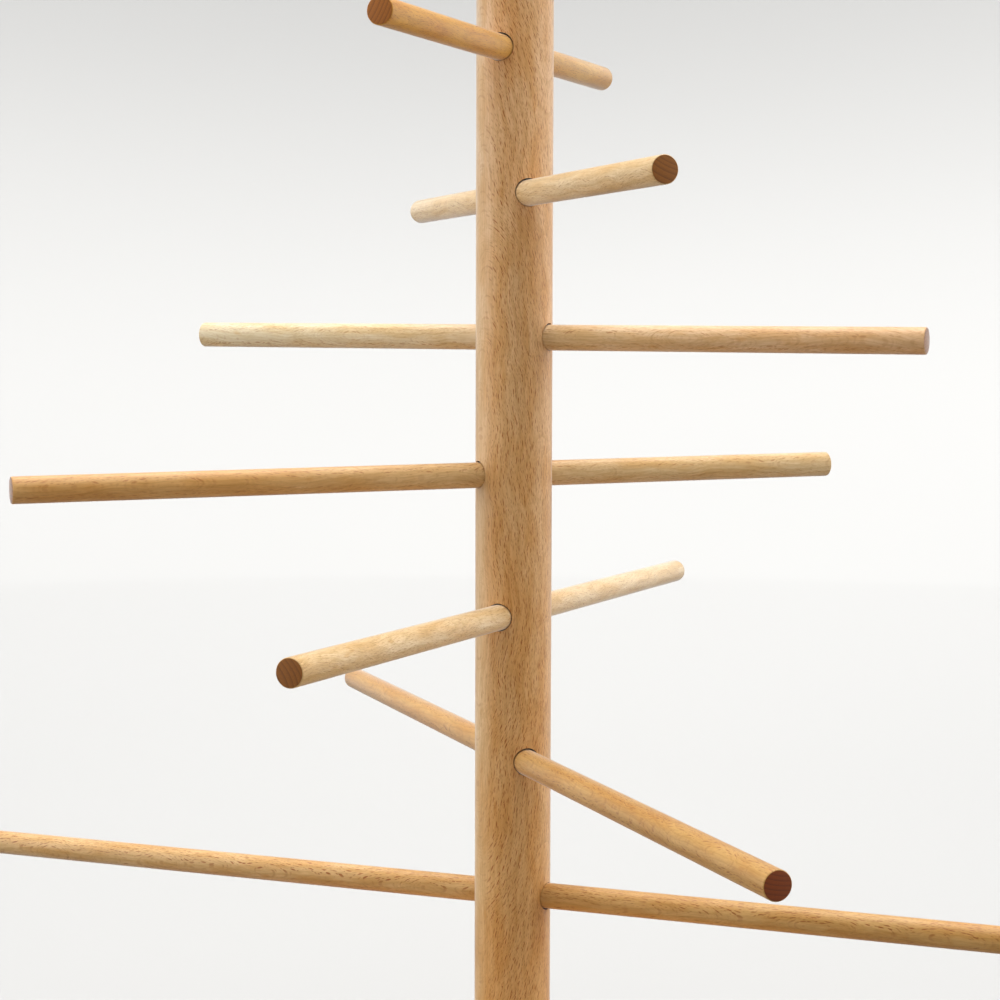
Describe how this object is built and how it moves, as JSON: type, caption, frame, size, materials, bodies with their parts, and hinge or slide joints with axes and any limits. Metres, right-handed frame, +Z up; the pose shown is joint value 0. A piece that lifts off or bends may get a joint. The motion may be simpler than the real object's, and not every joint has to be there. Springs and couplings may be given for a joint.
{
  "type": "mug tree",
  "caption": "Free-standing beech dowel tree: a round trunk on a disc foot, with straight round rods sliding through it in a spiral, longer towards the foot.",
  "frame": {"origin": "on the trunk's axis, on the underside of the felt disc, where the tree stands", "axes": "+Z up along the trunk; +X along the lowest rod, towards the end that the trunk's front view shows on the right; +Y completes the right-handed frame"},
  "size_m": [0.464, 0.376, 0.7],
  "materials": {
    "beech_trunk": "fine-sanded, unvarnished",
    "beech_base": "fine-sanded, unvarnished",
    "beech_rod_honey": "fine-sanded, unvarnished",
    "beech_rod_pale": "fine-sanded, unvarnished",
    "beech_rod_tan": "fine-sanded, unvarnished",
    "felt": "pressed felt",
    "zinc_plated_steel": "zinc plated",
    "brass": "machined"
  },
  "bodies": {
    "stand": {"felt_disc": "felt", "base_disc": "beech_base", "trunk": "beech_trunk", "foot_bolt": "zinc_plated_steel", "foot_washer": "zinc_plated_steel", "trunk_insert": "brass"},
    "rod_01": {"rod_01": "beech_rod_honey"},
    "rod_02": {"rod_02": "beech_rod_pale"},
    "rod_03": {"rod_03": "beech_rod_tan"},
    "rod_04": {"rod_04": "beech_rod_honey"},
    "rod_05": {"rod_05": "beech_rod_pale"},
    "rod_06": {"rod_06": "beech_rod_pale"},
    "rod_07": {"rod_07": "beech_rod_tan"},
    "rod_08": {"rod_08": "beech_rod_pale"},
    "rod_09": {"rod_09": "beech_rod_honey"},
    "rod_10": {"rod_10": "beech_rod_tan"}
  },
  "joints": [
    {"name": "rod_01_slide", "type": "slide", "parent": "stand", "child": "rod_01", "axis": [0.7071, -0.7071, 0], "range_m": [-0.027, 0.027]},
    {"name": "rod_02_slide", "type": "slide", "parent": "stand", "child": "rod_02", "axis": [1, 0, 0], "range_m": [-0.048, 0.048]},
    {"name": "rod_03_slide", "type": "slide", "parent": "stand", "child": "rod_03", "axis": [0.7071, 0.7071, 0], "range_m": [-0.069, 0.069]},
    {"name": "rod_04_slide", "type": "slide", "parent": "stand", "child": "rod_04", "axis": [0, 0.9999, 0.0148], "range_m": [-0.0795, 0.1005]},
    {"name": "rod_05_slide", "type": "slide", "parent": "stand", "child": "rod_05", "axis": [-0.7071, 0.7071, 0.0082], "range_m": [-0.0955, 0.1185]},
    {"name": "rod_06_slide", "type": "slide", "parent": "stand", "child": "rod_06", "axis": [-0.9999, 0, 0.0101], "range_m": [-0.1255, 0.1465]},
    {"name": "rod_07_slide", "type": "slide", "parent": "stand", "child": "rod_07", "axis": [-0.7071, -0.7071, -0.0126], "range_m": [-0.179, 0.125]},
    {"name": "rod_08_slide", "type": "slide", "parent": "stand", "child": "rod_08", "axis": [0, -1, 0.0061], "range_m": [-0.164, 0.182]},
    {"name": "rod_09_slide", "type": "slide", "parent": "stand", "child": "rod_09", "axis": [0.7071, -0.7071, -0.0042], "range_m": [-0.1995, 0.1945]},
    {"name": "rod_10_slide", "type": "slide", "parent": "stand", "child": "rod_10", "axis": [0.9999, 0, 0.0148], "range_m": [-0.197, 0.237]}
  ]
}
